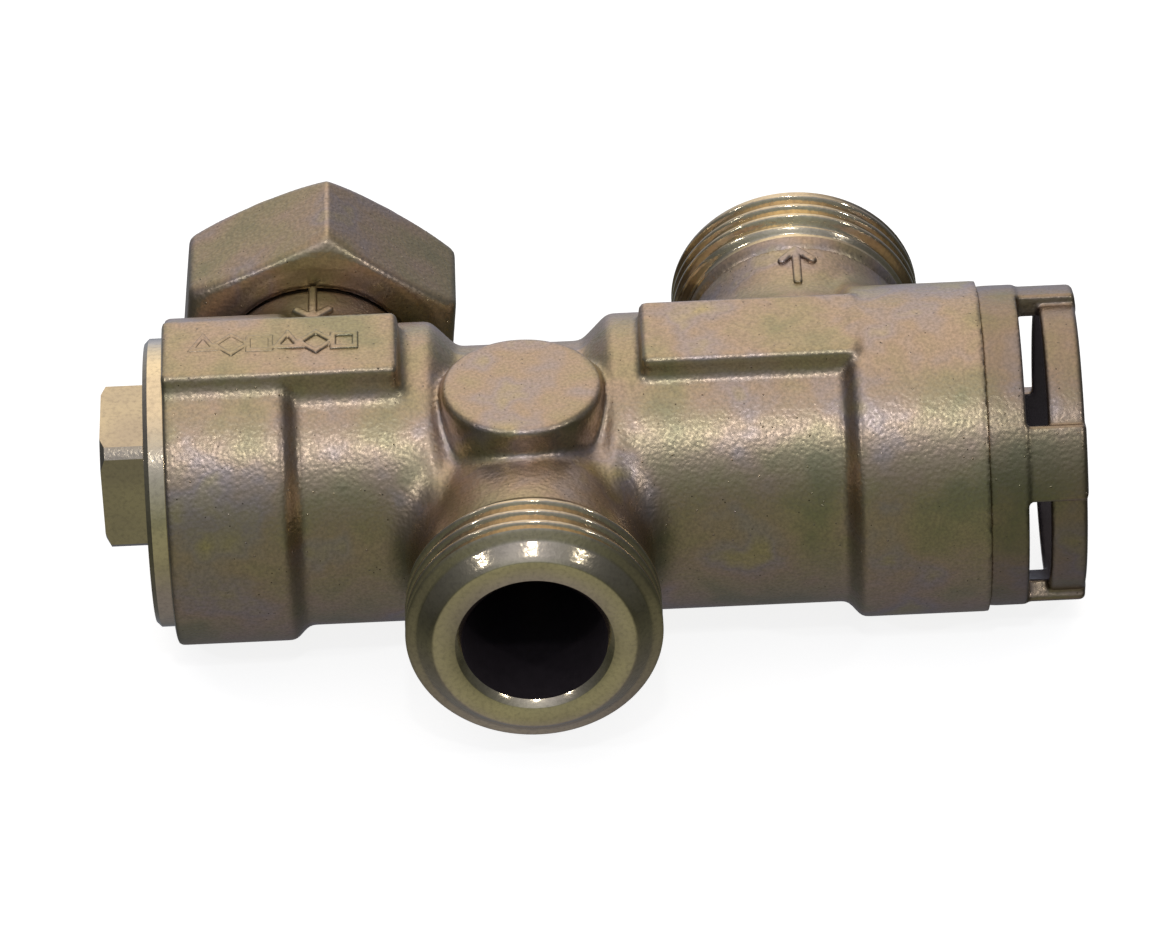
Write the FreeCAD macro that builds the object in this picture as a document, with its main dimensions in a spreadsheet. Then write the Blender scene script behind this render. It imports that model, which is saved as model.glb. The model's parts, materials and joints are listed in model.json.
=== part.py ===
import FreeCAD, Part
import math
import os
import re

import Sketcher
from FreeCAD import Placement, Rotation, Vector

# Three-way plug valve, all in millimetres. Every sub-part is drawn with the barrel axis on X
# and the inlet axis on Y, then its body is placed so that the row's origin is the centre of
# the inlet port's mouth. +X runs to the castellated crown, +Y into the valve, +Z is up.

DIMENSIONS = {
    # where things are along the barrel
    "barrel_left": -37.4,
    "left_step": -24.8,
    "left_step_end": -23.4,
    "left_shoulder": -9.8,
    "waist_left": -6.8,
    "waist_right": 6.0,
    "right_shoulder": 8.9,
    "right_step": 32.6,
    "right_step_end": 34.0,
    "barrel_right": 47.5,
    "flange_end": 51.45,
    "window_end": 53.75,
    "crown_end": 57.8,
    "head_end": -44.3,
    "head_base": -39.8,
    "cover_face": -39.5,
    # the body's outside
    "barrel_radius": 17.1,
    "right_radius": 17.3,
    "mid_radius": 15.6,
    "waist_radius": 12.9,
    "barrel_bevel": 0.8,
    "tube_radius": 11.9,
    "pad_front": -6.2,
    "left_pad_end": -12.9,
    "left_pad_back": 4.2,
    "left_pad_top": 18.0,
    "right_pad_start": 12.2,
    "right_pad_end": 33.6,
    "right_pad_back": 5.0,
    "right_pad_top": 17.0,
    "boss_y": -6.5,
    "boss_radius": 8.6,
    "boss_top": 15.3,
    # the ports
    "inlet_face": 31.0,
    "inlet_radius": 7.5,
    "outlet_face": 30.2,
    "outlet_x": 29.2,
    "mouth_chamfer": 0.45,
    "tail_x": -22.0,
    "neck_radius": 10.55,
    "neck_end": 18.9,
    "nose_radius": 10.0,
    "nose_end": 22.9,
    "male_radius": 13.2205,
    "male_core": 12.0585,
    "male_length": 7.8,
    "thread_pitch": 1.8143,
    "port_radius": 8.0,
    "tail_passage": 6.5,
    # union nut, its split ring and its gasket
    "nut_back": 19.3,
    "nut_collar": 20.6,
    "nut_thread": 24.4,
    "nut_face": 32.5,
    "nut_flats": 28.5,
    "nut_bore": 10.3,
    "nut_chamber": 11.9,
    "ring_start": 20.9,
    "ring_end": 21.8,
    "ring_inner": 9.25,
    "ring_outer": 11.3,
    "gasket_inner": 7.0,
    "gasket_outer": 11.4,
    "gasket_end": 24.2,
    # inside the body
    "plug_offset": 2.35,
    "chamber_radius": 11.2,
    "left_chamber": -10.4,
    "right_chamber": 10.0,
    "passage_radius": 8.2,
    "crown_seat": 44.5,
    "crown_bore": 13.5,
    # liners and plugs
    "liner_inner": 10.2,
    "plug_radius": 10.15,
    "plug_hollow": 7.6,
    "left_plug_face": -31.0,
    "left_plug_wall": -28.8,
    "left_plug_hub": -26.0,
    "left_plug_end": -11.0,
    "right_plug_start": 11.0,
    "right_plug_hub": 35.0,
    "right_plug_wall": 37.4,
    "right_plug_face": 39.8,
    "left_window": 6.5,
    "right_window": 7.5,
    "hub_radius": 5.2,
    "pin_radius": 0.8,
    "left_pin_x": -27.3,
    "right_pin_x": 36.2,
    # cover, stop, washers and bush
    "cover_radius": 15.1,
    "spigot_radius": 11.15,
    "spigot_end": -31.6,
    "bush_start": -34.6,
    "bush_outer": 6.2,
    "journal_radius": 5.0,
    "journal_bore": 5.05,
    "stop_radius": 0.9,
    "stop_orbit": 7.9,
    "stop_end": -30.0,
    "stop_slot_floor": -29.7,
    "stop_slot_angle": 108.0,
    "washer_outer": 6.6,
    # spindle
    "head_width": 12.8,
    "head_bar": 8.4,
    "spindle_radius": 3.0,
    "spindle_bore": 3.05,
    "tail_start": 44.7,
    "tail_radius": 2.4,
    "tail_end": 47.4,
    # end disc and crown
    "disc_start": 40.4,
    "disc_end": 44.4,
    "crown_inner": 14.2,
    "crown_spigot_bore": 10.8,
    "flange_radius": 16.7,
    "rib_radius": 16.5,
    "ring_radius": 15.45,
    "rib_angle": 28.4,
    "rib_turn": 28.2,
}

doc = FreeCAD.newDocument("plug_valve")
sheet = doc.addObject("Spreadsheet::Sheet", "Dims")
for row, (name, value) in enumerate(DIMENSIONS.items(), 1):
    sheet.set(f"A{row}", name.replace("_", " "))
    sheet.set(f"B{row}", str(value))
    sheet.setAlias(f"B{row}", name)
doc.recompute()


def bound(text):
    """The expression with every dimension's name pointed at the spreadsheet."""
    return re.sub(r"[a-z][a-z_]*", lambda found: "Dims." + found.group(), str(text))


def number(text):
    """The expression's value now, for placing geometry before it is constrained."""
    return float(sheet.evalExpression(bound(text)))


def plane_of(body, name):
    return next(o for o in body.Origin.OriginFeatures if o.Role == name + "_Plane")


def axis_of(body, name):
    return next(o for o in body.Origin.OriginFeatures if o.Role == name + "_Axis")


def new_body(name, height=0):
    """A body on the barrel axis, or on the spindle axis when height is its offset."""
    body = doc.addObject("PartDesign::Body", name)
    body.Label = name
    body.setExpression(".Placement.Base.y", bound("inlet_face"))
    body.setExpression(".Placement.Base.z", bound(height))
    return body


def new_sketch(body, name, plane, shift=("0", "0", "0"), tilt=0):
    """An empty sketch on a plane of the body, shifted in its own axes and tilted about its x."""
    sketch = body.newObject("Sketcher::SketchObject", name)
    sketch.AttachmentSupport = [(plane_of(body, plane), "")]
    sketch.MapMode = "FlatFace"
    sketch.AttachmentOffset = Placement(
        Vector(*(number(s) for s in shift)), Rotation(Vector(1, 0, 0), tilt)
    )
    for letter, amount in zip("xyz", shift):
        if amount != "0":
            sketch.setExpression(f".AttachmentOffset.Base.{letter}", bound(amount))
    return sketch


def hold(sketch, index, end, text, across):
    """Fix one coordinate of a point to an expression of the dimensions."""
    if number(text) == 0:
        axis = -2 if across else -1
        sketch.addConstraint(Sketcher.Constraint("PointOnObject", index, end, axis))
        return
    kind = "DistanceX" if across else "DistanceY"
    value = number(text)
    row = sketch.addConstraint(Sketcher.Constraint(kind, -1, 1, index, end, value))
    sketch.setExpression(f"Constraints[{row}]", bound(text))


def add_polygon(sketch, points):
    """A closed outline through points given as pairs of expressions."""
    first = sketch.GeometryCount
    count = len(points)
    places = [Vector(number(a), number(b), 0) for a, b in points]
    for i in range(count):
        sketch.addGeometry(Part.LineSegment(places[i], places[(i + 1) % count]), False)
    for i in range(count):
        after = first + (i + 1) % count
        sketch.addConstraint(Sketcher.Constraint("Coincident", first + i, 2, after, 1))
    for i, (a, b) in enumerate(points):
        hold(sketch, first + i, 1, a, True)
        hold(sketch, first + i, 1, b, False)


def add_circle(sketch, x, y, radius):
    index = sketch.addGeometry(
        Part.Circle(Vector(number(x), number(y), 0), Vector(0, 0, 1), number(radius)), False
    )
    hold(sketch, index, 3, x, True)
    hold(sketch, index, 3, y, False)
    row = sketch.addConstraint(Sketcher.Constraint("Radius", index, number(radius)))
    sketch.setExpression(f"Constraints[{row}]", bound(radius))


def turned(body, name, points, cut=False, along="X", shift=("0", "0", "0"), angle="360", tilt=0):
    """A solid of revolution, or a turned cut, about X (points x, r) or about Y (points r, y)."""
    plane, axis = ("XZ", "H_Axis") if along == "X" else ("XY", "V_Axis")
    sketch = new_sketch(body, name + "_profile", plane, shift, tilt)
    add_polygon(sketch, points)
    kind = "PartDesign::Groove" if cut else "PartDesign::Revolution"
    feature = body.newObject(kind, name)
    feature.Profile = sketch
    feature.ReferenceAxis = (sketch, [axis])
    feature.Angle = number(angle)
    feature.setExpression("Angle", bound(angle))
    feature.Midplane = True
    sketch.Visibility = False
    doc.recompute()
    return feature


def tube_points(x0, x1, inner, outer):
    return [(x0, inner), (x1, inner), (x1, outer), (x0, outer)]


def drilled(body, name, x, y0, y1, radius, shift_z="0"):
    """A round hole along Y centred on x."""
    points = [("0", y0), (radius, y0), (radius, y1), ("0", y1)]
    return turned(body, name, points, cut=True, along="Y", shift=(x, "0", shift_z))


def cross_drilled(body, name, x, radius, reach):
    """A round hole along Z through the spindle axis at x."""
    sketch = new_sketch(body, name + "_profile", "XZ", (x, "0", "0"))
    add_polygon(sketch, [("0", f"-{reach}"), (radius, f"-{reach}"), (radius, reach), ("0", reach)])
    feature = body.newObject("PartDesign::Groove", name)
    feature.Profile = sketch
    feature.ReferenceAxis = (sketch, ["V_Axis"])
    feature.Angle = 360
    doc.recompute()
    return feature


def padded(body, name, plane, draw, height, lift="0", cut=False):
    """A pad or pocket of the outline that draw puts in the sketch."""
    sketch = new_sketch(body, name + "_profile", plane, ("0", "0", lift))
    draw(sketch)
    kind = "PartDesign::Pocket" if cut else "PartDesign::Pad"
    feature = body.newObject(kind, name)
    feature.Profile = sketch
    feature.Length = number(height)
    feature.setExpression("Length", bound(height))
    sketch.Visibility = False
    doc.recompute()
    return feature


def edges_where(shape, test):
    return [f"Edge{i}" for i, edge in enumerate(shape.Edges, 1) if test(edge)]


def rounded(body, name, test, radius):
    """A fillet on every edge of the body so far that passes the test."""
    base = body.Tip
    feature = body.newObject("PartDesign::Fillet", name)
    feature.Base = (base, edges_where(base.Shape, test))
    feature.Radius = radius
    doc.recompute()
    return feature


def patterned(body, name, original, axis, length, count):
    feature = body.newObject("PartDesign::LinearPattern", name)
    feature.Originals = [original]
    feature.Direction = (axis_of(body, axis), [""])
    feature.Length = number(length)
    feature.setExpression("Length", bound(length))
    feature.Occurrences = count
    body.Tip = feature
    doc.recompute()
    return feature


def rectangle(x0, x1, y0, y1):
    return lambda sketch: add_polygon(sketch, [(x0, y0), (x1, y0), (x1, y1), (x0, y1)])


# ---------------------------------------------------------------- forged body
valve_body = new_body("valve_body")
turned(
    valve_body,
    "barrel",
    [
        ("barrel_left", "0"),
        ("barrel_left", "barrel_radius - barrel_bevel"),
        ("barrel_left + barrel_bevel", "barrel_radius"),
        ("left_step", "barrel_radius"),
        ("left_step_end", "mid_radius"),
        ("left_shoulder - 0.9", "mid_radius"),
        ("left_shoulder", "mid_radius - 0.35"),
        ("waist_left", "waist_radius + 0.35"),
        ("waist_left + 0.9", "waist_radius"),
        ("waist_right - 0.9", "waist_radius"),
        ("waist_right", "waist_radius + 0.35"),
        ("right_shoulder", "mid_radius - 0.35"),
        ("right_shoulder + 0.9", "mid_radius"),
        ("right_step", "mid_radius"),
        ("right_step_end", "right_radius"),
        ("barrel_right - 0.4", "right_radius"),
        ("barrel_right", "right_radius - 0.4"),
        ("barrel_right", "0"),
    ],
)
padded(
    valve_body,
    "left_pad",
    "XY",
    rectangle("barrel_left", "left_pad_end", "pad_front", "left_pad_back"),
    "left_pad_top",
)
padded(
    valve_body,
    "right_pad",
    "XY",
    rectangle("right_pad_start", "right_pad_end", "pad_front + 0.5", "right_pad_back"),
    "right_pad_top",
)


def pad_edge(edge):
    """The top rim and upright corners of the two cast pads, but not where they meet a flange."""
    box = edge.BoundBox
    flat = box.ZLength < 0.01 and box.ZMin > number("right_pad_top") - 0.05
    upright = box.XLength < 0.01 and box.YLength < 0.01 and box.ZMax > 16
    meets = box.XMax < number("barrel_left") + 0.01 or box.XMin > number("right_pad_end") - 0.01
    return (flat or upright) and not meets and isinstance(edge.Curve, Part.Line)


rounded(valve_body, "pad_edges", pad_edge, 0.7)

turned(
    valve_body,
    "inlet_tube",
    [
        ("0", "0"),
        ("tube_radius", "0"),
        ("tube_radius", "male_length + 1.2 - inlet_face"),
        ("male_core", "male_length - inlet_face"),
        ("male_radius", "male_length - 1.1 - inlet_face"),
        ("male_radius", "mouth_chamfer - inlet_face"),
        ("male_radius - 0.9", "-inlet_face"),
        ("0", "-inlet_face"),
    ],
    along="Y",
)
turned(
    valve_body,
    "outlet_tube",
    [
        ("0", "0"),
        ("0", "outlet_face"),
        ("male_radius - 0.9", "outlet_face"),
        ("male_radius", "outlet_face - mouth_chamfer"),
        ("male_radius", "outlet_face - male_length + 1.1"),
        ("male_core", "outlet_face - male_length"),
        ("tube_radius", "outlet_face - male_length - 1.2"),
        ("tube_radius", "0"),
    ],
    along="Y",
    shift=("outlet_x", "0", "0"),
)
turned(
    valve_body,
    "tail",
    [
        ("0", "0"),
        ("0", "nose_end"),
        ("nose_radius - 0.4", "nose_end"),
        ("nose_radius", "nose_end - 0.4"),
        ("nose_radius", "ring_end + 0.1"),
        ("ring_inner - 0.05", "ring_end + 0.1"),
        ("ring_inner - 0.05", "ring_start - 0.1"),
        ("nose_radius", "ring_start - 0.1"),
        ("nose_radius", "neck_end"),
        ("neck_radius", "neck_end"),
        ("neck_radius", "0"),
    ],
    along="Y",
    shift=("tail_x", "0", "0"),
)
padded(
    valve_body,
    "boss",
    "XY",
    lambda sketch: add_circle(sketch, "0", "boss_y", "boss_radius"),
    "boss_top",
)


def boss_rim(edge):
    box = edge.BoundBox
    return box.ZLength < 0.01 and abs(box.ZMax - number("boss_top")) < 0.01


rounded(valve_body, "boss_edge", boss_rim, 0.8)

# bores on the spindle axis, which lies above the barrel axis
OFF_AXIS = ("0", "plug_offset", "0")
for name, start, end, radius in (
    ("left_chamber_bore", "barrel_left", "left_chamber", "chamber_radius"),
    ("passage_bore", "left_chamber - 1", "right_chamber + 1", "passage_radius"),
    ("right_chamber_bore", "right_chamber", "crown_seat + 1", "chamber_radius"),
):
    points = [(start, "0"), (end, "0"), (end, radius), (start, radius)]
    turned(valve_body, name, points, cut=True, shift=OFF_AXIS)
turned(
    valve_body,
    "crown_counterbore",
    [("crown_seat", "0"), ("barrel_right", "0"), ("barrel_right", "crown_bore"), ("crown_seat", "crown_bore")],
    cut=True,
)
turned(
    valve_body,
    "inlet_bore",
    [
        ("0", "-inlet_face"),
        ("inlet_radius + 0.7", "-inlet_face"),
        ("inlet_radius", "0.7 - inlet_face"),
        ("inlet_radius", "0"),
        ("0", "2"),
    ],
    cut=True,
    along="Y",
)
turned(
    valve_body,
    "outlet_bore",
    [
        ("0", "0"),
        ("port_radius", "0"),
        ("port_radius", "outlet_face - 0.8"),
        ("port_radius + 0.8", "outlet_face"),
        ("0", "outlet_face"),
    ],
    cut=True,
    along="Y",
    shift=("outlet_x", "0", "0"),
)
drilled(valve_body, "tail_bore", "tail_x", "0", "nose_end", "tail_passage")


def ring_points(centre, top, bottom):
    """One thread groove of 55 degree form, open at radius top and flat at radius bottom."""
    slope = "(male_radius - male_core) * 0.5206 + 0.15"
    return [
        (top, f"{centre} - ({slope})"),
        (bottom, f"{centre} - 0.12"),
        (bottom, f"{centre} + 0.12"),
        (top, f"{centre} + {slope}"),
    ]


def threaded(body, name, x, first, top, bottom):
    """Three thread turns cut as plain grooves, a pitch apart along Y."""
    groove = turned(body, name, ring_points(first, top, bottom), cut=True, along="Y", shift=(x, "0", "0"))
    patterned(body, name + "_turns", groove, "Y", "2 * thread_pitch", 3)


threaded(valve_body, "inlet_thread", "0", "1.9 - inlet_face", "male_radius + 0.05", "male_core")
threaded(
    valve_body,
    "outlet_thread",
    "outlet_x",
    "outlet_face - 1.9 - 2 * thread_pitch",
    "male_radius + 0.05",
    "male_core",
)

# ---------------------------------------------------------------- union nut
NUT_TURN = 6.5
union_nut = new_body("union_nut")
union_nut.setExpression(".Placement.Base.x", bound("tail_x"))
union_nut.Placement.Rotation = Rotation(Vector(0, 1, 0), NUT_TURN)


def draw_hexagon(sketch):
    """Flats facing sideways, so that a corner is straight up before the nut is turned."""
    corner = "nut_flats / 2 * 1.1547005"
    half = "nut_flats / 2"
    side = "nut_flats / 2 * 0.5773503"
    right = [("0", corner), (half, side), (half, f"-({side})")]
    left = [("0", f"-({corner})"), (f"-({half})", f"-({side})"), (f"-({half})", side)]
    add_polygon(sketch, right + left)


# the XZ plane faces -Y, so the sketch lies on the mouth and the pad grows back to the collar
padded(union_nut, "hexagon", "XZ", draw_hexagon, "nut_face - nut_back", lift="-nut_face")
for name, face, inward in (("mouth", "nut_face", "-"), ("back", "nut_back", "+")):
    turned(
        union_nut,
        f"{name}_chamfer",
        [
            ("nut_flats / 2 - 0.3", face),
            ("nut_flats / 2 + 3.5", f"{face} {inward} 2.2"),
            ("nut_flats / 2 + 3.5", face),
        ],
        cut=True,
        along="Y",
    )
turned(
    union_nut,
    "bore",
    [
        ("0", "nut_back"),
        ("nut_bore", "nut_back"),
        ("nut_bore", "nut_collar"),
        ("nut_chamber", "nut_collar"),
        ("nut_chamber", "nut_thread"),
        ("male_core", "nut_thread"),
        ("male_core", "nut_face - 1.1"),
        ("male_core + 1.1", "nut_face"),
        ("0", "nut_face"),
    ],
    cut=True,
    along="Y",
)
threaded(
    union_nut,
    "thread",
    "0",
    "nut_face - 2.3 - 2 * thread_pitch",
    "male_core - 0.05",
    "male_radius",
)

nut_ring = new_body("nut_ring")
turned(
    nut_ring,
    "ring",
    [
        ("ring_inner", "ring_start"),
        ("ring_outer", "ring_start"),
        ("ring_outer", "ring_end"),
        ("ring_inner", "ring_end"),
    ],
    along="Y",
    shift=("tail_x", "0", "0"),
    angle="345",
)
union_gasket = new_body("union_gasket")
turned(
    union_gasket,
    "washer",
    [
        ("gasket_inner", "nose_end"),
        ("gasket_outer", "nose_end"),
        ("gasket_outer", "gasket_end"),
        ("gasket_inner", "gasket_end"),
    ],
    along="Y",
    shift=("tail_x", "0", "0"),
)

# ---------------------------------------------------------------- left end
end_cover = new_body("end_cover")
turned(
    end_cover,
    "flange",
    [
        ("cover_face", "0"),
        ("cover_face", "cover_radius - 0.5"),
        ("cover_face + 0.5", "cover_radius"),
        ("barrel_left", "cover_radius"),
        ("barrel_left", "0"),
    ],
)
turned(
    end_cover,
    "spigot",
    [("barrel_left", "0"), ("spigot_end", "0"), ("spigot_end", "spigot_radius"), ("barrel_left", "spigot_radius")],
    shift=OFF_AXIS,
)
for name, x0, x1, inner, outer in (
    ("journal_hole", "cover_face", "spigot_end", "0", "journal_bore"),
    ("bush_seat", "bush_start", "spigot_end", "0", "bush_outer"),
    ("seal_groove", "-35.6", "-34.0", "9.85", "spigot_radius"),
):
    turned(end_cover, name, tube_points(x0, x1, inner, outer), cut=True, shift=OFF_AXIS)
STOP_TILT = 45.0
stop_y = "-stop_orbit * 0.70710678"
stop_z = "stop_orbit * 0.70710678"
padded(
    end_cover,
    "stop_hole",
    "YZ",
    lambda sketch: add_circle(sketch, stop_y, f"plug_offset + {stop_z}", "stop_radius"),
    "3.4",
    lift="spigot_end",
    cut=True,
)

stop_pin = new_body("stop_pin", "plug_offset")
padded(
    stop_pin,
    "pin",
    "YZ",
    lambda sketch: add_circle(sketch, stop_y, stop_z, "stop_radius"),
    "stop_end - spigot_end + 3.4",
    lift="spigot_end - 3.4",
)


def ring_body(name, centre_x, orbit, cord, parts=1, spacing="0"):
    """An O-ring, or a row of them, about the spindle axis."""
    shapes = []
    for i in range(parts):
        ring = doc.addObject("Part::Torus", f"{name}_torus_{i}")
        ring.setExpression("Radius1", bound(orbit))
        ring.setExpression("Radius2", bound(cord))
        ring.Placement = Placement(Vector(0, 0, 0), Rotation(Vector(0, 1, 0), 90))
        ring.setExpression(".Placement.Base.x", bound(f"{centre_x} + {i} * ({spacing})"))
        ring.setExpression(".Placement.Base.y", bound("inlet_face"))
        ring.setExpression(".Placement.Base.z", bound("plug_offset"))
        shapes.append(ring)
    doc.recompute()
    if parts == 1:
        shapes[0].Label = name
        return shapes[0]
    group = doc.addObject("Part::Compound", name)
    group.Links = shapes
    group.Label = name
    doc.recompute()
    return group


cover_o_ring = ring_body("cover_o_ring", "-34.8", "10.51", "0.64")
stem_bush = new_body("stem_bush", "plug_offset")
turned(stem_bush, "bush", tube_points("bush_start", "spigot_end", "journal_bore", "bush_outer"))
thrust_washer_left = new_body("thrust_washer_left", "plug_offset")
turned(
    thrust_washer_left,
    "washer",
    tube_points("spigot_end", "left_plug_face - 0.1", "journal_bore + 0.15", "washer_outer"),
)

# ---------------------------------------------------------------- liners
left_liner = new_body("left_liner", "plug_offset")
turned(left_liner, "sleeve", tube_points("spigot_end", "left_chamber", "liner_inner", "chamber_radius"))
drilled(left_liner, "window", "tail_x", "5", "13", "tail_passage", "-plug_offset")
right_liner = new_body("right_liner", "plug_offset")
turned(right_liner, "sleeve", tube_points("right_chamber", "disc_start", "liner_inner", "chamber_radius"))
drilled(right_liner, "window", "outlet_x", "4", "13", "port_radius", "-plug_offset")

# ---------------------------------------------------------------- right end
thrust_washer_right = new_body("thrust_washer_right", "plug_offset")
turned(
    thrust_washer_right,
    "washer",
    tube_points("right_plug_face + 0.1", "disc_start", "spindle_bore + 0.3", "washer_outer"),
)
end_disc = new_body("end_disc", "plug_offset")
turned(end_disc, "disc", tube_points("disc_start", "disc_end", "spindle_bore", "spigot_radius"))
turned(end_disc, "seal_groove", tube_points("41.6", "43.2", "9.85", "spigot_radius"), cut=True)
end_disc_o_ring = ring_body("end_disc_o_ring", "42.4", "10.51", "0.64")

crown_ring = new_body("crown_ring")
turned(
    crown_ring,
    "ring",
    [
        ("crown_seat", "crown_spigot_bore"),
        ("flange_end", "crown_spigot_bore"),
        ("flange_end", "crown_inner"),
        ("crown_end - 0.4", "crown_inner"),
        ("crown_end", "crown_inner + 0.4"),
        ("crown_end", "rib_radius - 0.8"),
        ("crown_end - 0.5", "rib_radius"),
        ("flange_end", "rib_radius"),
        ("flange_end", "flange_radius - 0.3"),
        ("flange_end - 0.3", "flange_radius"),
        ("barrel_right + 0.4", "flange_radius"),
        ("barrel_right", "flange_radius - 0.4"),
        ("barrel_right", "crown_bore"),
        ("crown_seat", "crown_bore"),
    ],
)


def crown_cut(name, points):
    """Four equal sectors between the ribs, cut away about the barrel axis."""
    tilt = 90 - number("rib_turn") - 45
    cut = turned(crown_ring, name, points, cut=True, angle="90 - rib_angle", tilt=tilt)
    turns = crown_ring.newObject("PartDesign::PolarPattern", name + "_turns")
    turns.Originals = [cut]
    turns.Axis = (axis_of(crown_ring, "X"), [""])
    turns.Angle = 360
    turns.Occurrences = 4
    crown_ring.Tip = turns
    doc.recompute()


crown_cut("windows", tube_points("flange_end", "window_end", "crown_inner - 1", "rib_radius + 1"))
crown_cut(
    "reliefs",
    [
        ("window_end", "ring_radius"),
        ("crown_end - 0.6", "ring_radius"),
        ("crown_end", "ring_radius - 0.5"),
        ("crown_end", "rib_radius + 1"),
        ("window_end", "rib_radius + 1"),
    ],
)

# ---------------------------------------------------------------- turning group
stem = new_body("stem", "plug_offset")
turned(
    stem,
    "bar",
    [
        ("head_end", "0"),
        ("head_end", "head_bar - 0.9"),
        ("head_end + 0.5", "head_bar"),
        ("head_base", "head_bar"),
        ("head_base", "journal_radius"),
        ("spigot_end + 0.2", "journal_radius"),
        ("spigot_end + 0.2", "spindle_radius"),
        ("tail_start", "spindle_radius"),
        ("tail_start", "tail_radius"),
        ("tail_end - 0.4", "tail_radius"),
        ("tail_end", "tail_radius - 0.4"),
        ("tail_end", "0"),
    ],
)


def draw_flats(sketch):
    """The waste outside the square."""
    half = "head_width / 2"
    for reach in (half, "head_bar + 2"):
        corners = [(f"-({reach})", f"-({reach})"), (reach, f"-({reach})"), (reach, reach)]
        add_polygon(sketch, corners + [(f"-({reach})", reach)])


padded(stem, "square", "YZ", draw_flats, "head_base - head_end", lift="head_base", cut=True)
for name, x0, x1, bottom, top in (
    ("outer_seal_groove", "-38.3", "-37.0", "3.8", "journal_radius"),
    ("inner_seal_groove", "-36.3", "-35.0", "3.8", "journal_radius"),
    ("tail_seal_groove", "42.0", "42.9", "2.2", "spindle_radius"),
    ("clip_groove", "45.4", "46.1", "tail_radius - 0.4", "tail_radius"),
):
    turned(stem, name, tube_points(x0, x1, bottom, top), cut=True)
cross_drilled(stem, "left_pin_hole", "left_pin_x", "pin_radius", "hub_radius")
cross_drilled(stem, "right_pin_hole", "right_pin_x", "pin_radius", "hub_radius")

stem_o_rings = ring_body("stem_o_rings", "-37.65", "4.4", "0.59", parts=2, spacing="2")
tail_o_ring = ring_body("tail_o_ring", "42.45", "2.61", "0.39")

left_plug = new_body("left_plug", "plug_offset")
turned(
    left_plug,
    "shell",
    [
        ("left_plug_face", "spindle_radius"),
        ("left_plug_hub", "spindle_radius"),
        ("left_plug_hub", "hub_radius"),
        ("left_plug_wall", "hub_radius"),
        ("left_plug_wall", "plug_hollow"),
        ("left_plug_end", "plug_hollow"),
        ("left_plug_end", "plug_radius"),
        ("left_plug_face", "plug_radius"),
    ],
)
drilled(left_plug, "window", "tail_x", "3.5", "12", "left_window", "-plug_offset")
cross_drilled(left_plug, "pin_hole", "left_pin_x", "pin_radius", "hub_radius")
turned(
    left_plug,
    "stop_slot",
    tube_points("left_plug_face", "stop_slot_floor", "stop_orbit - 1.25", "stop_orbit + 1.25"),
    cut=True,
    angle="stop_slot_angle",
)

right_plug = new_body("right_plug", "plug_offset")
turned(
    right_plug,
    "shell",
    [
        ("right_plug_start", "plug_hollow"),
        ("right_plug_wall", "plug_hollow"),
        ("right_plug_wall", "hub_radius"),
        ("right_plug_hub", "hub_radius"),
        ("right_plug_hub", "spindle_radius"),
        ("right_plug_face", "spindle_radius"),
        ("right_plug_face", "plug_radius"),
        ("right_plug_start", "plug_radius"),
    ],
)
sketch = new_sketch(right_plug, "window_profile", "XZ", ("outlet_x", "0", "0"))
add_polygon(sketch, [("0", "-12"), ("right_window", "-12"), ("right_window", "-3.5"), ("0", "-3.5")])
window = right_plug.newObject("PartDesign::Groove", "window")
window.Profile = sketch
window.ReferenceAxis = (sketch, ["V_Axis"])
window.Angle = 360
doc.recompute()
cross_drilled(right_plug, "pin_hole", "right_pin_x", "pin_radius", "hub_radius")


def pin_body(name, x):
    """A cross pin as long as the plug's hub is wide."""
    pin = doc.addObject("Part::Cylinder", name)
    pin.Label = name
    pin.setExpression("Radius", bound("pin_radius"))
    pin.setExpression("Height", bound("2 * hub_radius"))
    pin.setExpression(".Placement.Base.x", bound(x))
    pin.setExpression(".Placement.Base.y", bound("inlet_face"))
    pin.setExpression(".Placement.Base.z", bound("plug_offset - hub_radius"))
    doc.recompute()
    return pin


left_plug_pin = pin_body("left_plug_pin", "left_pin_x")
right_plug_pin = pin_body("right_plug_pin", "right_pin_x")

tail_washer = new_body("tail_washer", "plug_offset")
turned(tail_washer, "washer", tube_points("tail_start", "45.4", "tail_radius", "4.8"))
tail_clip = new_body("tail_clip", "plug_offset")
turned(tail_clip, "clip", tube_points("45.4", "46.1", "tail_radius - 0.4", "3.7"))
padded(
    tail_clip,
    "clip_gap",
    "YZ",
    rectangle("0", "5", "-1.1", "1.1"),
    "1.5",
    lift="46.6",
    cut=True,
)

# ---------------------------------------------------------------- check and write
SUBPARTS = [
    valve_body, union_nut, nut_ring, union_gasket, end_cover, cover_o_ring, stem_bush, stop_pin, thrust_washer_left,
    left_liner, right_liner, thrust_washer_right, end_disc, end_disc_o_ring, crown_ring,
    stem, stem_o_rings, left_plug, left_plug_pin, right_plug, right_plug_pin,
    tail_o_ring, tail_washer, tail_clip,
]
doc.recompute()
for item in doc.Objects:
    if "Invalid" in item.State or "Error" in item.State:
        raise RuntimeError(f"{item.Label} did not compute: {item.State}")
os.makedirs("parts", exist_ok=True)
for item in SUBPARTS:
    shape = item.Shape
    if shape.isNull() or not shape.isValid() or not shape.Solids:
        raise RuntimeError(f"{item.Label} has no valid solid")
    shape.exportStep(f"parts/{item.Label}.step")
    box = shape.BoundBox
    print(
        f"{item.Label:22s} solids {len(shape.Solids)} volume {shape.Volume:10.2f}",
        f"x {box.XMin:7.2f} {box.XMax:7.2f} y {box.YMin:7.2f} {box.YMax:7.2f}",
        f"z {box.ZMin:7.2f} {box.ZMax:7.2f}",
    )
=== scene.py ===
import math

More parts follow.
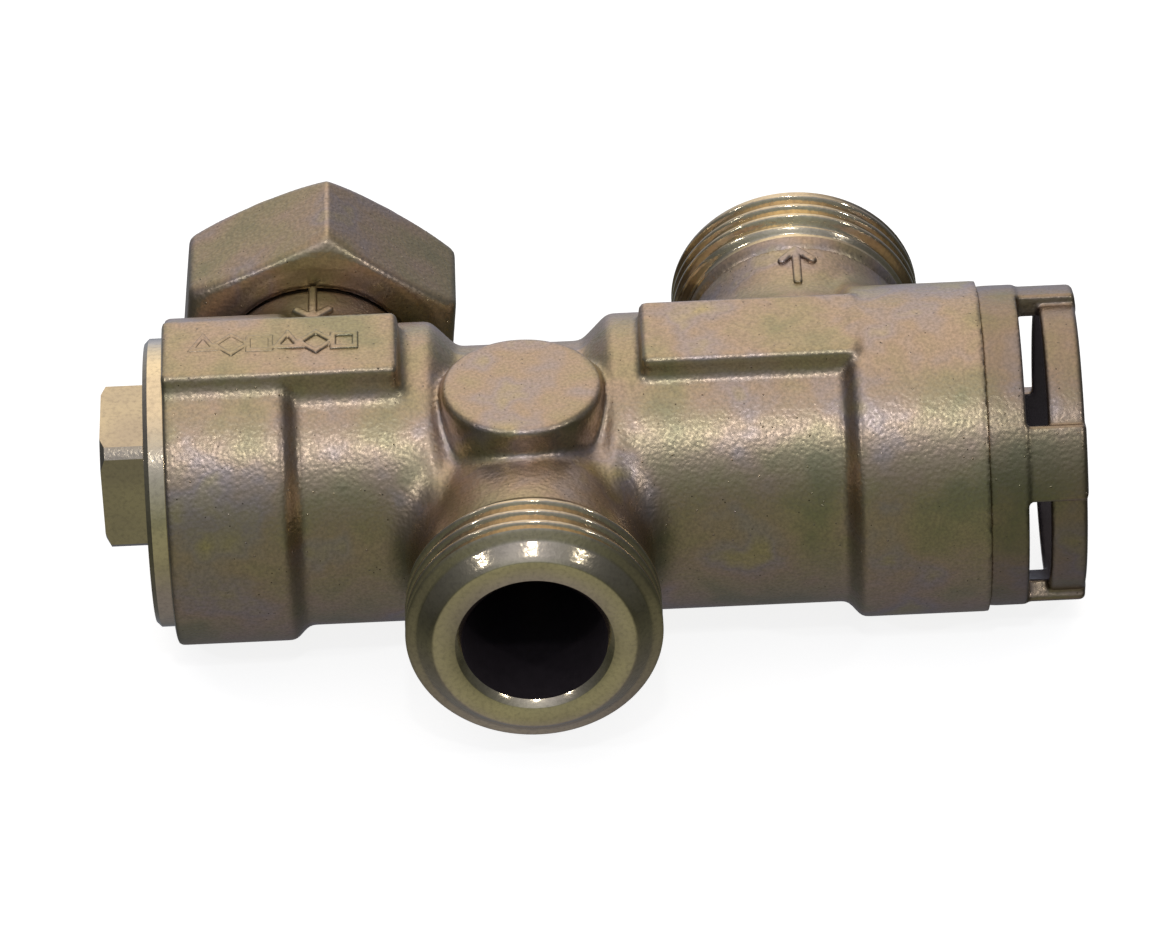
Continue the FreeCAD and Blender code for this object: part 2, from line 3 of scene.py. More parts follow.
import bpy
import numpy as np
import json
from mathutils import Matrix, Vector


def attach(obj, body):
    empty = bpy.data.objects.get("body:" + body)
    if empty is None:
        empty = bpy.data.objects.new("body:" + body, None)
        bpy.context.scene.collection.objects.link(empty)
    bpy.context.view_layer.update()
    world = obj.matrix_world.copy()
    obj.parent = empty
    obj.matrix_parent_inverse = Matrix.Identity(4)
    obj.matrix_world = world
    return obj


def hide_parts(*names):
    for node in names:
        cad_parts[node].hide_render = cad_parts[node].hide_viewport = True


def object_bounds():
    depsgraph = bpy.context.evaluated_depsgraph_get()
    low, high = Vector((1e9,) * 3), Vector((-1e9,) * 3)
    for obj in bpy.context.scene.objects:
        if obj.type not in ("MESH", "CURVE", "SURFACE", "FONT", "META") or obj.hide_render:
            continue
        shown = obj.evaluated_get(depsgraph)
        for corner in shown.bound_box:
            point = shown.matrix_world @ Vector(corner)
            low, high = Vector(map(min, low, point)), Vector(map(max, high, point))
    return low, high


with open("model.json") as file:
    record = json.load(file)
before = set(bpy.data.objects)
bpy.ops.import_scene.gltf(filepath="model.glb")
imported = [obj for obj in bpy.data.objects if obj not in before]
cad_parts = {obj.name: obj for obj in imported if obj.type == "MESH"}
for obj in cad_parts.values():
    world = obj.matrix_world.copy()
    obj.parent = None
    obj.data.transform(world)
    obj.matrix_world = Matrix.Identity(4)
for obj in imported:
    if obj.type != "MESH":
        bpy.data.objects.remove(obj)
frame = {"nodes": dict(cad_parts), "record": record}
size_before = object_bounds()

import openvdb
from mathutils import Matrix, Vector

# Drawn in millimetres about the crossing of the barrel and inlet axes, then moved to the
# row's frame, whose origin is the inlet's mouth.
MM = 0.001
INLET = 31.0
SPINDLE_Z = 2.35
TAIL_X, OUTLET_X = -22.0, 29.2
OUTLET = 30.2
NUT_TURN = math.radians(6.5)
NUT_BACK, NUT_COLLAR, NUT_SHOULDER, NUT_FACE = 19.3, 20.6, 24.4, 32.5
NUT_HALF_FLATS, NUT_BORE, NUT_CHAMBER = 14.25, 10.3, 13.5
FLANGE_START, FLANGE_END, CROWN_END, CROWN_STEP_END = 47.3, 51.45, 57.6, 57.55
LEFT_END, RIGHT_END = -37.4, 47.5
TUBE_RADIUS, NECK_RADIUS, NOSE_RADIUS = 11.95, 10.55, 10.0
INLET_BORE, OUTLET_BORE, TAIL_BORE = 7.5, 8.0, 6.5
CHAMBER, WAIST_BORE, CROWN_BORE = 11.2, 8.2, 13.5
SPLIT_RING_AT, SPLIT_RING_INNER = 21.35, 9.2
FAR = 60  # past the end of anything on the valve

VOXEL, CROWN_VOXEL, MARK_VOXEL = ((0.3, 0.2, 0.13))
TURNS, THREAD_STEP = ((288, 0.075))

# Which of a piece's materials a face has; INNER faces take the near-black painted shade of the bores.
OUTER, MACHINED, INNER = 0, 1, 2


# ------------------------------------------------------------------ mesh helpers
def new_piece(name, verts, faces, index, body="housing", first=None):
    """A mesh piece from points in millimetres, riding on a body; index picks each face's brass, or the
    near-black painted shade of the bores.
    """
    mesh = bpy.data.meshes.new(name)
    verts = np.asarray(verts, float) + (0, INLET, 0)
    mesh.from_pydata((verts * MM).tolist(), [], [list(map(int, f)) for f in faces])
    for material in (first or FORGED, TURNED, BORE_SHADE):
        mesh.materials.append(material)
    mesh.polygons.foreach_set("material_index", np.asarray(index, np.int32))
    mesh.shade_smooth()
    mesh.validate()
    piece = bpy.data.objects.new(name, mesh)
    bpy.context.scene.collection.objects.link(piece)
    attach(piece, body)
    return piece


def grid_faces(rows, cols):
    """Quads joining a grid of points stored row by row, closed both ways."""
    r, c = np.meshgrid(np.arange(rows), np.arange(cols), indexing="ij")
    r2, c2 = (r + 1) % rows, (c + 1) % cols
    quads = np.stack([r * cols + c, r * cols + c2, r2 * cols + c2, r2 * cols + c], -1)
    return quads.reshape(-1, 4)


def joined(parts):
    """Several sets of points, faces and material numbers as one."""
    verts, faces, index, count = [], [], [], 0
    for part_verts, part_faces, part_index in parts:
        verts.append(part_verts)
        faces.append(part_faces + count)
        index.append(np.broadcast_to(part_index, len(part_faces)))
        count += len(part_verts)
    return np.concatenate(verts), np.concatenate(faces), np.concatenate(index)


def split_corners(piece):
    """Keep edges sharper than 38 degrees crisp under the smooth shading."""
    modifier = piece.modifiers.new("corners", "EDGE_SPLIT")
    modifier.split_angle = math.radians(38)
    modifier.use_edge_sharp = False


# ------------------------------------------------------------------ distance fields
def smooth_min(a, b, k):
    h = np.maximum(k - np.abs(a - b), 0) / k
    return np.minimum(a, b) - h * h * k / 4


def smooth_max(a, b, k):
    return -smooth_min(-a, -b, k)


def rod(along, across, lo, hi, radius, edge=0.4):
    """A round bar between lo and hi on its axis; across is the distance from that axis."""
    return smooth_max(across - radius, np.maximum(lo - along, along - hi), edge)


def block(x, y, z, x0, x1, y0, y1, z0, z1, r):
    """A box with all its edges rounded to r."""
    q = [
        np.abs(v - (a + b) / 2) - (b - a) / 2 + r
        for v, a, b in ((x, x0, x1), (y, y0, y1), (z, z0, z1))
    ]
    out = np.sqrt(sum(np.maximum(v, 0) ** 2 for v in q))
    return out + np.minimum(np.maximum(np.maximum(q[0], q[1]), q[2]), 0) - r


def barrel_radius(x):
    """The barrel's turned profile, its corners blurred into forging radii."""
    xs = np.arange(-60, 70, 0.05)
    nodes = [(-60, 17.1), (-24.9, 17.1), (-23.7, 15.6), (-9.6, 15.6), (-6.9, 12.9),
             (6.1, 12.9), (8.9, 15.6), (32.9, 15.6), (34.1, 17.3), (70, 17.3)]
    px, pr = zip(*nodes)
    r = np.interp(xs, px, pr)
    t = np.arange(-40, 41) * 0.05
    g = np.exp(-(t / 0.42) ** 2 / 2)
    r = np.convolve(np.pad(r, 40, mode="edge"), g / g.sum(), mode="valid")
    return np.interp(x, xs, r)


def strokes(x, y, lines):
    """Distance to the nearest of some straight strokes drawn on the XY plane."""
    best = 1e3
    for x0, y0, x1, y1 in lines:
        dx, dy = x1 - x0, y1 - y0
        t = np.clip(((x - x0) * dx + (y - y0) * dy) / (dx * dx + dy * dy), 0, 1)
        best = np.minimum(best, np.hypot(x - x0 - t * dx, y - y0 - t * dy))
    return best


def outline_marks(x, y):
    """Distance to a row of plain outline shapes: triangles, a square and diamonds."""
    best = 1e3
    for i, centre in enumerate(np.linspace(-33.0, -18.4, 6)):
        u, w = x - centre, y + 0.9
        if i % 3 == 0:
            shape = np.maximum(np.abs(u) * 0.894 + w * 0.447, -w) - 0.75
        elif i % 3 == 1:
            shape = (np.abs(u) + np.abs(w)) * 0.7071 - 1.2
        else:
            shape = np.maximum(np.abs(u), np.abs(w)) - 1.15
        best = np.minimum(best, np.abs(shape))
    return best


PAD_TOP = 17.75
OUTLET_ARROW = [(29.2, 20.1, 27.7, 18.4), (29.2, 20.1, 30.9, 18.4), (29.2, 20.1, 29.2, 14.4)]
TAIL_ARROW = [(-22, 13.2, -23.7, 15.0), (-22, 13.2, -20.3, 15.0), (-22, 18.5, -22, 13.2)]


def forging_field(x, y, z):
    """Signed distance to the forged body, negative inside."""
    r = np.hypot(y, z)
    f = (r - barrel_radius(x)) * 0.92
    tube = rod(-y, np.hypot(x, z), 0, 23.3, TUBE_RADIUS)
    f = smooth_min(f, tube, 4.2)
    across = np.hypot(x - OUTLET_X, z)
    f = smooth_min(f, rod(y, across, 0, 22.6, TUBE_RADIUS), 3.6)
    across = np.hypot(x - TAIL_X, z)
    f = smooth_min(f, rod(y, across, 0, 18.9, NECK_RADIUS), 3.0)
    f = np.minimum(f, rod(y, across, 0, 22.9, NOSE_RADIUS))
    boss = rod(z, np.hypot(x + 0.25, y + 6.5), 0, 15.3, 8.45, 1.0)
    f = smooth_min(f, boss, 1.1)
    f = smooth_min(f, block(x, y, z, -FAR, -12.9, -6.2, 4.2, 0, PAD_TOP, 0.75), 1.6)
    pad = block(x, y, z, 12.2, 34.5, -5.7, 5.0, 0, 17.05, 0.75)
    return smooth_min(f, pad, 1.0)


def marks_field(x, y, z):
    """The raised cast marks: a row of plain shapes on the left pad and an arrow on two necks."""
    row = smooth_max(outline_marks(x, y) - 0.36, np.abs(z - PAD_TOP + 0.1) - 0.34, 0.3)
    skin = np.abs(np.hypot(x - OUTLET_X, z) - TUBE_RADIUS) - 0.4
    outlet = smooth_max(strokes(x, y, OUTLET_ARROW) - 0.5, skin, 0.35)
    skin = np.abs(np.hypot(x - TAIL_X, z) - 10.6) - 0.5
    tail = smooth_max(strokes(x, y, TAIL_ARROW) - 0.5, skin, 0.35)
    return np.minimum(row, np.minimum(outlet, tail))


def nut_field(x, y, z):
    """The union nut before it is turned: hexagon, eased rims, collar bore and chamber."""
    u, w = np.abs(x), np.abs(z)
    flats = smooth_max(u - NUT_HALF_FLATS, u * 0.5 + w * 0.8660254 - NUT_HALF_FLATS, 0.5)
    slab = np.maximum(NUT_BACK - y, y - NUT_FACE)
    f = smooth_max(flats, slab, 0.8)
    across = np.hypot(u, w)
    for rim, base in ((NUT_FACE - y, 14.45), (y - NUT_BACK, 14.3)):
        cone = (across - base - rim * 1.6) * 0.53
        f = smooth_max(f, cone, 0.9)
    collar = rod(y, across, 0, FAR, NUT_BORE, 0.3)
    chamber = rod(y, across, NUT_COLLAR, FAR, NUT_CHAMBER, 0.3)
    return smooth_max(f, -np.minimum(collar, chamber), 0.4)


def crown_field(x, y, z):
    """The castellated ring: a flange, four ribs and an end ring with a step between ribs."""
    r = np.hypot(y, z)
    turn = np.arctan2(z, y)
    off = (turn - math.radians(61.8) + math.pi / 4) % (math.pi / 2) - math.pi / 4
    beside = r * np.sin(np.abs(off) - math.radians(14.2))
    flange = rod(x, r, FLANGE_START, FLANGE_END, 16.7, 0.4)
    f = smooth_max(flange, -rod(x, r, 0, FAR, 10.8, 0.3), 0.3)
    crest = rod(x, r, 48, CROWN_END, 16.5, 0.7)
    step = rod(x, r, 53.75, CROWN_STEP_END, 15.45, 0.6)
    bars = smooth_max(crest, beside, 0.5)
    shell = smooth_min(step, bars, 0.4)
    shell = smooth_max(shell, -rod(x, r, 0, 80, 14.2, 0.3), 0.4)
    f = smooth_min(f, shell, 0.5)
    spigot = smooth_max(rod(x, r, 44.6, 48, 13.45, 0.3), 10.8 - r, 0.3)
    return np.minimum(f, spigot)


def bores_field(x, y, z):
    """The space inside the body."""
    r = np.hypot(y, z - SPINDLE_Z)
    spaces = [
        (x, r, -FAR, -10.4, CHAMBER),
        (x, r, -12, 11, WAIST_BORE),
        (x, r, 10.0, 46, CHAMBER),
        (x, np.hypot(y, z), 44.5, FAR, CROWN_BORE),
        (-y, np.hypot(x, z), 0, FAR, INLET_BORE),
        (y, np.hypot(x - OUTLET_X, z), 0, FAR, OUTLET_BORE),
        (y, np.hypot(x - TAIL_X, z), 0, FAR, TAIL_BORE),
    ]
    f = rod(*spaces[0], 0.2)
    for space in spaces[1:]:
        f = np.minimum(f, rod(*space, 0.2))
    return f


def body_field(x, y, z):
    """The forging with its bores, the split ring's groove and both ends cut square."""
    across = np.hypot(x - TAIL_X, z)
    f = smooth_max(forging_field(x, y, z), -bores_field(x, y, z), 0.3)
    groove = np.maximum(np.abs(y - SPLIT_RING_AT) - 0.55, SPLIT_RING_INNER - across)
    f = np.maximum(f, -groove)
    f = smooth_max(f, LEFT_END - x, 0.7)
    return smooth_max(f, x - RIGHT_END, 0.25)


def meshed(field, lo, hi, step):
    """A closed quad mesh of the field's zero surface, in millimetres."""
    axes = [np.arange(a, b + step, step, dtype=np.float32) for a, b in zip(lo, hi)]
    x, y, z = np.meshgrid(*axes, indexing="ij", sparse=True)
    values = np.empty([len(a) for a in axes], np.float32)
    for i in range(0, len(axes[0]), 24):
        part = slice(i, i + 24)
        values[part] = field(x[part].astype(float), y.astype(float), z.astype(float))
    grid = openvdb.FloatGrid(4 * step)
    grid.copyFromArray(np.clip(values, -4 * step, 4 * step))
    points, quads = grid.convertToQuads(0.0)
    points = points * step + [a[0] for a in axes]
    return points, quads[:, ::-1]


# ------------------------------------------------------------------ threads
def thread_drop(phase):
    """Depth of a rounded 55 degree thread, 0 at the crest and 1 at the root."""
    ramp = np.clip((1 - np.abs(2 * (phase % 1) - 1) - 0.14) / 0.72, 0, 1)
    return ramp * ramp * (3 - 2 * ramp) * 0.5 + ramp * 0.5


CREST, ROOT, PITCH = 13.2205, 12.0585, 1.8143
INLET_RIM = [(0, 10.3), (0.03, 10.45), (0.1, 10.57), (1.6, 12.07), (2.0, 12.95), (2.15, 13.2205)]
OUTLET_RIM = [(0, 11.6), (0.03, 12.0), (0.1, 12.3), (0.2, 12.55), (0.34, 12.8), (0.9, 13.2205)]


def threaded_tube(mouth, side, centre_x, bore, rim, last, shift):
    """Points, quads and materials of a male threaded end about a Y axis.

    mouth is the face's distance from the barrel axis, side is +1 or -1 along Y, rim is the lead
    cone as (depth, radius), last is how deep the thread runs and shift turns its helix.
    """
    # rows marked INNER take the near-black painted shade of the bores
    inner = [
        (last + 2.0, bore, INNER),
        (3.0, bore, INNER),
        (0.7, bore, MACHINED),
        (0.05, bore + 0.6, MACHINED),
        (0, bore + 0.68, MACHINED),
    ]
    cut = [(d, r, MACHINED) for d, r in rim if d < 0.5]
    cut += [(d, CREST, MACHINED) for d in np.arange(0.5, last, THREAD_STEP)]
    back = [
        (last + 0.3, 12.04, OUTER),
        (last + 0.9, 11.98, OUTER),
        (last + 1.5, 11.6, OUTER),
        (last + 2.0, 11.0, INNER),
    ]
    depth_in, r, kind = (np.array(column) for column in zip(*inner, *cut, *back))
    angle = np.linspace(0, 2 * math.pi, TURNS, endpoint=False)
    threaded = (r == CREST)[:, None]
    cone = np.interp(depth_in, *zip(*rim))[:, None]
    phase = depth_in[:, None] / PITCH + side * angle[None] / (2 * math.pi) + shift
    height = np.clip((last - depth_in) / 1.0, 0, 1)[:, None]
    entry = np.clip((depth_in - rim[-1][0]) / 0.5, 0, 1)[:, None]
    helix = ROOT + (CREST - ROOT) * (1 - thread_drop(phase) * entry) * height
    radius = np.where(threaded, smooth_min(helix, cone, 0.12), r[:, None])
    x = centre_x + radius * np.cos(angle)
    z = radius * np.sin(angle)
    y = np.broadcast_to(side * (mouth - depth_in)[:, None], x.shape)
    verts = np.stack([x, y, z], -1).reshape(-1, 3)
    faces = grid_faces(len(r), TURNS)
    return verts, faces if side < 0 else faces[:, ::-1], np.repeat(kind, TURNS)


def nut_thread():
    """The lining of the union nut: mouth chamfer, helix, shoulder and chamber."""
    rows = int(7.9 / THREAD_STEP)
    outline = [(NUT_FACE, 13.9), (NUT_FACE, 13.35)]
    outline += [(32.4 - 7.9 * i / rows, ROOT) for i in range(rows + 1)]
    outline += [(NUT_SHOULDER, 11.9), (20.65, 11.9), (20.65, 13.7), (32.2, 13.9)]
    s, r = (np.array(column) for column in zip(*outline))
    angle = np.linspace(0, 2 * math.pi, TURNS, endpoint=False)
    threaded = r == ROOT
    depth_in = NUT_FACE - s
    phase = depth_in[:, None] / PITCH + angle[None] / (2 * math.pi)
    fade = np.clip((8.0 - depth_in) / 1.2, 0, 1) * threaded
    rise = (CREST - ROOT) * thread_drop(phase) * fade[:, None]
    mouth = np.where(threaded, 1.25 - depth_in, 0).clip(0)[:, None]
    radius = r[:, None] + np.maximum(rise, mouth)
    x = radius * np.cos(angle)
    z = radius * np.sin(angle)
    y = np.broadcast_to(s[:, None], x.shape)
    verts = np.stack([x, y, z], -1).reshape(-1, 3)
    return verts, grid_faces(len(s), TURNS)


# ------------------------------------------------------------------ materials
def add_node(tree, kind, inputs=None, **settings):
    """A shader node with its settings made and its inputs set or linked."""
    node = tree.nodes.new("ShaderNode" + kind)
    for key, value in settings.items():
        setattr(node, key, value)
    for key, value in (inputs or {}).items():
        if isinstance(value, bpy.types.NodeSocket):
            tree.links.new(value, node.inputs[key])
        else:
            node.inputs[key].default_value = value
    return node


def fill_ramp(node, stops):
    """A colour ramp's output once its stops are set from (place, colour) pairs."""
    points = node.color_ramp.elements
    while len(points) < len(stops):
        points.new(0.5)
    for point, (place, colour) in zip(points, stops):
        point.position = place
        point.color = (*colour, 1)
    return node.outputs["Color"]


class Nodes:
    """A material's node tree with short calls for making and joining nodes."""

    def __init__(self, name):
        self.material = bpy.data.materials.new(name)
        self.material.use_nodes = True
        self.tree = self.material.node_tree
        self.shader = self.tree.nodes["Principled BSDF"]

    def add(self, kind, inputs=None, **settings):
        return add_node(self.tree, kind, inputs, **settings)

    def noise(self, scale, detail, rough):
        coords = self.add("TexCoord").outputs["Object"]
        return self.add(
            "TexNoise", {"Vector": coords, "Scale": scale, "Detail": detail, "Roughness": rough}
        ).outputs["Fac"]

    def ramp(self, fac, stops):
        return fill_ramp(self.add("ValToRGB", {"Fac": fac}), stops)

    def mapped(self, value, a, b, c, d):
        return self.add(
            "MapRange", {"Value": value, "From Min": a, "From Max": b, "To Min": c, "To Max": d}
        ).outputs["Result"]

    def product(self, a, b):
        return self.add("Math", {0: a, 1: b}, operation="MULTIPLY").outputs[0]

    def mix(self, fac, a, b):
        node = self.add("Mix", data_type="RGBA", blend_type="MIX")
        for key, value in ((0, fac), (6, a), (7, b)):
            if isinstance(value, bpy.types.NodeSocket):
                self.tree.links.new(value, node.inputs[key])
            else:
                node.inputs[key].default_value = value if key == 0 else (*value, 1)
        return node.outputs[2]

    def bump(self, height, strength, distance, normal=None):
        inputs = {"Height": height, "Strength": strength, "Distance": distance}
        if normal is not None:
            inputs["Normal"] = normal
        return self.add("Bump", inputs).outputs["Normal"]

    def set(self, **values):
        for key, value in values.items():
            socket = self.shader.inputs[key.replace("_", " ")]
            if isinstance(value, bpy.types.NodeSocket):
                self.tree.links.new(value, socket)
            else:
                socket.default_value = value
        return self.material


def forged_brass(name, shade_gain=1.0):
    """Shot-blasted and passivated forging: dimples that glitter, tinted patches and fine pits; a gain below
    1 darkens every tint as painted shade.
    """
    n = Nodes(name)
    tints = [
        (0.32, (0.36, 0.33, 0.20)),
        (0.42, (0.46, 0.38, 0.24)),
        (0.52, (0.50, 0.38, 0.28)),
        (0.60, (0.45, 0.37, 0.34)),
        (0.70, (0.53, 0.44, 0.25)),
    ]
    # painted shade: every tint scaled by the gain
    tints = [(place, tuple(c * shade_gain for c in colour)) for place, colour in tints]
    tone = n.ramp(n.noise(95, 3, 0.6), tints)
    grain = n.noise(3200, 2, 0.6)
    tone = n.mix(n.mapped(grain, 0.35, 0.75, 0.0, 0.45), tone, (0.20, 0.17, 0.13))
    where = n.add("TexCoord").outputs["Object"]
    spots = n.add("TexVoronoi", {"Vector": where, "Scale": 760.0}).outputs["Distance"]
    tone = n.mix(n.mapped(spots, 0.04, 0.075, 1.0, 0.0), tone, (0.08, 0.065, 0.05))
    dimples = n.add("TexVoronoi", {"Vector": where, "Scale": 2300.0}, feature="SMOOTH_F1")
    normal = n.bump(dimples.outputs["Distance"], 0.35, 0.0001)
    beads = n.add("TexVoronoi", {"Vector": where, "Scale": 700.0}).outputs["Distance"]
    bead = n.mapped(beads, 0.02, 0.085, 1.0, 0.0)
    normal = n.bump(bead, 0.8, 0.00007, normal)
    normal = n.bump(grain, 0.3, 0.00006, normal)
    rough = n.mapped(grain, 0.3, 0.7, 0.30, 0.42)
    return n.set(
        Base_Color=tone,
        Metallic=1.0,
        Roughness=n.product(rough, n.mapped(bead, 0, 1, 1.0, 0.5)),
        Normal=normal,
    )


def turned_brass(name, shade_gain=1.0):
    """Machined faces and threads: brighter and smoother, with slight tarnish; a gain below 1 darkens all of
    it as painted shade.
    """
    n = Nodes(name)
    tone = n.ramp(n.noise(110, 3, 0.55), [(0.35, (0.62, 0.52, 0.38)), (0.65, (0.78, 0.66, 0.44))])
    marks = n.noise(2200, 2, 0.5)
    tone = n.mix(n.mapped(marks, 0.45, 0.8, 0.0, 0.4), tone, (0.28, 0.24, 0.19))
    # painted shade: the colour mixed towards black by one minus the gain
    tone = n.mix(1.0 - shade_gain, tone, (0, 0, 0))
    return n.set(
        Base_Color=tone,
        Metallic=1.0,
        Roughness=n.mapped(marks, 0.3, 0.7, 0.09, 0.16),
        Normal=n.bump(marks, 0.25, 0.00006),
    )


def plain(name, colour, metallic, rough, scale, spread=0.15):
    """One colour with fine variation, for the seals, liners, pins and the near-black painted shade inside
    the bores.
    """
    n = Nodes(name)
    fine = n.noise(scale, 2, 0.5)
    dark = tuple(c * (1 - spread) for c in colour)
    return n.set(
        Base_Color=n.mix(n.mapped(fine, 0.3, 0.7, 0, 1), dark, colour),
        Metallic=metallic,
        Roughness=n.mapped(fine, 0.3, 0.7, rough - 0.04, rough + 0.04),
        Normal=n.bump(fine, 0.2, 0.00008),
    )


FORGED = forged_brass("forged_brass")
# a darker copy of the forged brass, painted shade for the crown
SHADED_FORGED = forged_brass("forged_brass_painted_shade", 0.68)
TURNED = turned_brass("turned_brass")
# a darker copy of the turned brass, painted shade for the stem
SHADED_SPINDLE = turned_brass("spindle_brass_painted_shade", 0.72)
# near black, painted shade for the faces inside the bores and the crown
BORE_SHADE = plain("painted_bore_shade", (0.045, 0.036, 0.042), 0.3, 0.45, 1200)
MATERIALS = {
    "forged_brass": FORGED,
    "turned_brass": TURNED,
    "seal_rubber": plain("seal_rubber", (0.03, 0.03, 0.032), 0.0, 0.55, 900),
    "liner_plastic": plain("liner_plastic", (0.80, 0.80, 0.78), 0.0, 0.42, 700, 0.05),
    "pin_steel": plain("pin_steel", (0.60, 0.61, 0.63), 1.0, 0.28, 1500),
}
slots = {row["node"]: row["material_slot"] for row in frame["record"]["subparts"]}
for name, node in frame["nodes"].items():
    node.data.materials.clear()
    # the stem takes the darker turned copy, painted shade
    node.data.materials.append(SHADED_SPINDLE if name == "stem" else MATERIALS[slots[name]])


# ------------------------------------------------------------------ body, union nut and crown
marks = [
    (*meshed(marks_field, lo, hi, MARK_VOXEL), OUTER)
    for lo, hi in (
        ((-36, -4, 16.9), (-16, 2, 18.2)),
        ((27, 13.5, 11), (32, 21.5, 12.8)),
        ((-24.6, 12, 9.5), (-19.4, 19.4, 11.4)),
    )
]
points, quads = meshed(body_field, (-39, -25, -19), (49, 24.5, 19.5), VOXEL)
centres = points[quads].mean(1)
# faces inside the bores take the near-black painted shade
bored = bores_field(*centres.T) < 0.3
machined_end = centres[:, 0] < LEFT_END + 0.2
kind = np.where(bored, INNER, np.where(machined_end, MACHINED, OUTER))
body = new_piece(
    "body",
    *joined([
        (points, quads, kind),
        threaded_tube(INLET, -1, 0.0, INLET_BORE, INLET_RIM, 8.3, -0.68),
        threaded_tube(OUTLET, 1, OUTLET_X, OUTLET_BORE, OUTLET_RIM, 7.2, 0.0),
        *marks,
    ]),
)
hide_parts("valve_body")
split_corners(body)

points, quads = meshed(nut_field, (-18, 18, -18), (18, 33, 18), min(VOXEL, 0.4))
verts, faces, index = joined([(points, quads, OUTER), (*nut_thread(), MACHINED)])
c, t = math.cos(NUT_TURN), math.sin(NUT_TURN)
x, y, z = verts.T
verts = np.stack([TAIL_X + x * c + z * t, y, z * c - x * t], -1)
nut = new_piece("union_nut_hexagon", verts, faces, index, body="union_nut")
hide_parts("union_nut")
split_corners(nut)

points, quads = meshed(crown_field, (43.5, -18, -18), (59, 18, 18), CROWN_VOXEL)
centres = points[quads].mean(1)
# faces inside the crown take the near-black painted shade
inside = np.hypot(centres[:, 1], centres[:, 2]) < 14.35
# the crown's outside takes the darker forged copy, painted shade
crown = new_piece("crown", points, quads, np.where(inside, INNER, OUTER), first=SHADED_FORGED)
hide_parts("crown_ring")
split_corners(crown)

for name, width in (("stem", 0.22), ("end_cover", 0.2)):
    node = frame["nodes"][name]
    bevel = node.modifiers.new("edges", "BEVEL")
    bevel.width = width * MM
    bevel.segments = 2
    bevel.limit_method = "ANGLE"
    bevel.angle_limit = math.radians(35)

# ------------------------------------------------------------------ floor, light and camera
floor_z = size_before[0].z - 0.00005
half = 1.2
floor_mesh = bpy.data.meshes.new("floor")
floor_mesh.from_pydata(
    [(-half, -half, floor_z), (half, -half, floor_z), (half, half, floor_z), (-half, half, floor_z)],
    [],
    [(0, 1, 2, 3)],
)
pale = Nodes("pale_floor")
floor_mesh.materials.append(
    pale.set(
        Base_Color=(0.45, 0.45, 0.45, 1), Roughness=0.9, Emission_Color=(1, 1, 1, 1), Emission_Strength=0.84
    )
)
floor = bpy.data.objects.new("floor", floor_mesh)
bpy.context.scene.collection.objects.link(floor)
floor.visible_glossy = False

# the surroundings: brightest overhead and behind, darker to the sides, below and towards the front
world = bpy.data.worlds.new("studio")
world.use_nodes = True
sky = world.node_tree
background = sky.nodes["Background"]


def sky_node(kind, inputs=None, **settings):
    return add_node(sky, kind, inputs, **settings)


def sky_range(value, a, b, c, d):
    inputs = {"Value": value, "From Min": a, "From Max": b, "To Min": c, "To Max": d}
    return sky_node("MapRange", inputs).outputs["Result"]


# SKY is tinted by the angle from up and behind, BELOW by how far down a direction points.
SKY = [
    (-1.0, (0.50, 0.51, 0.35)),
    (-0.45, (0.23, 0.25, 0.20)),
    (0.1, (0.42, 0.46, 0.52)),
    (0.42, (0.60, 0.64, 0.80)),
    (0.66, (0.95, 0.92, 0.92)),
    (0.92, (1.25, 1.13, 1.02)),
    (1.0, (1.25, 1.13, 1.02)),
]
BELOW = [(0.05, (0.52, 0.50, 0.80)), (0.42, (0.60, 0.60, 0.66)), (0.9, (1, 1, 1))]
towards = sky_node("TexCoord").outputs["Generated"]
tilted = sky_node("VectorMath", {0: towards, 1: (0, 0.5, 0.866)}, operation="DOT_PRODUCT")
band = sky_node("ValToRGB", {"Fac": sky_range(tilted.outputs["Value"], -1, 1, 0, 1)})
band = fill_ramp(band, [(place / 2 + 0.5, colour) for place, colour in SKY])
split = sky_node("SeparateXYZ", {0: towards})
low = sky_node("ValToRGB", {"Fac": sky_range(split.outputs["Z"], -1, 0, 0, 1)})
low = fill_ramp(low, BELOW)
beside = sky_node("Math", {0: split.outputs["X"], 1: 0.06}, operation="ADD").outputs[0]
beside = sky_node("Math", {0: beside, 1: beside}, operation="MULTIPLY").outputs[0]
strip = sky_node("Math", {0: math.exp(-1), 1: 0.0}, operation="POWER")
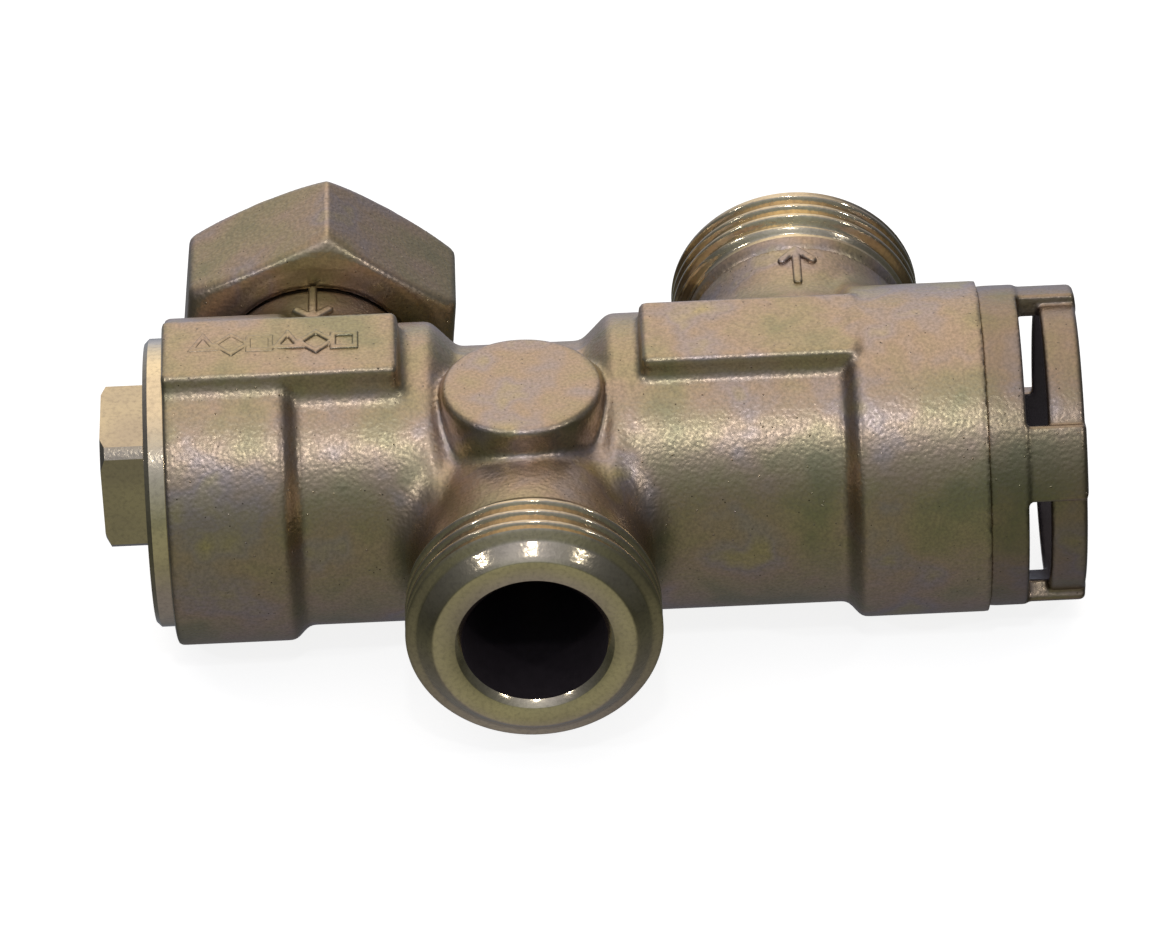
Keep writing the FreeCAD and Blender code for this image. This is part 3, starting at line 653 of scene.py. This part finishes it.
sky.links.new(sky_range(beside, 0, 1, 0, 3.8), strip.inputs[1])
# the sides are dimmed least towards the table
table = sky_range(split.outputs["Z"], -0.35, -0.6, 0.20, 0.46)
strip = sky_range(strip.outputs[0], 0, 1, table, 1)
rays = sky_node("LightPath").outputs["Is Camera Ray"]
lit = band
for shade in (low, strip):
    lit = sky_node("Mix", {0: 1.0, 6: lit, 7: shade}, data_type="RGBA", blend_type="MULTIPLY").outputs[2]
seen = sky_node("Mix", {0: rays, 6: lit, 7: (1, 1, 1, 1)}, data_type="RGBA")
sky.links.new(seen.outputs[2], background.inputs["Color"])
background.inputs["Strength"].default_value = 1.0
bpy.context.scene.world = world
bpy.context.scene.view_settings.view_transform = "Standard"

middle = Vector((0.005, INLET * MM, 0))
LAMP_SIZE, LAMP_AWAY = 0.03, 0.7


def soft_light(name, towards, watts):
    """A small square lamp that faces the valve from the given direction."""
    data = bpy.data.lights.new(name, "AREA")
    data.shape = "RECTANGLE"
    data.size = data.size_y = LAMP_SIZE
    data.energy = watts
    light = bpy.data.objects.new(name, data)
    place = Vector(towards).normalized() * LAMP_AWAY
    light.location = middle + place
    light.rotation_euler = (-place).to_track_quat("-Z", "Y").to_euler()
    bpy.context.scene.collection.objects.link(light)


soft_light("centre", (0, -0.57, 0.82), 0.34)
soft_light("left", (-0.587, -0.5, 0.63), 0.30)
soft_light("right", (0.587, -0.5, 0.63), 0.30)

camera_data = bpy.data.cameras.new("camera")
camera_data.sensor_width = 36
camera_data.lens = 265.6
camera_data.clip_start = 0.01
camera_data.clip_end = 10
camera = bpy.data.objects.new("camera", camera_data)
ELEVATION, ROLL, DISTANCE = math.radians(36), math.radians(2.56), 0.890
back = Vector((0, -math.cos(ELEVATION), math.sin(ELEVATION)))
turn = (-back).to_track_quat("-Z", "Y") @ Matrix.Rotation(-ROLL, 4, "Z").to_quaternion()
camera.location = middle + back * DISTANCE
camera.rotation_mode = "QUATERNION"
camera.rotation_quaternion = turn
bpy.context.scene.collection.objects.link(camera)
bpy.context.scene.camera = camera
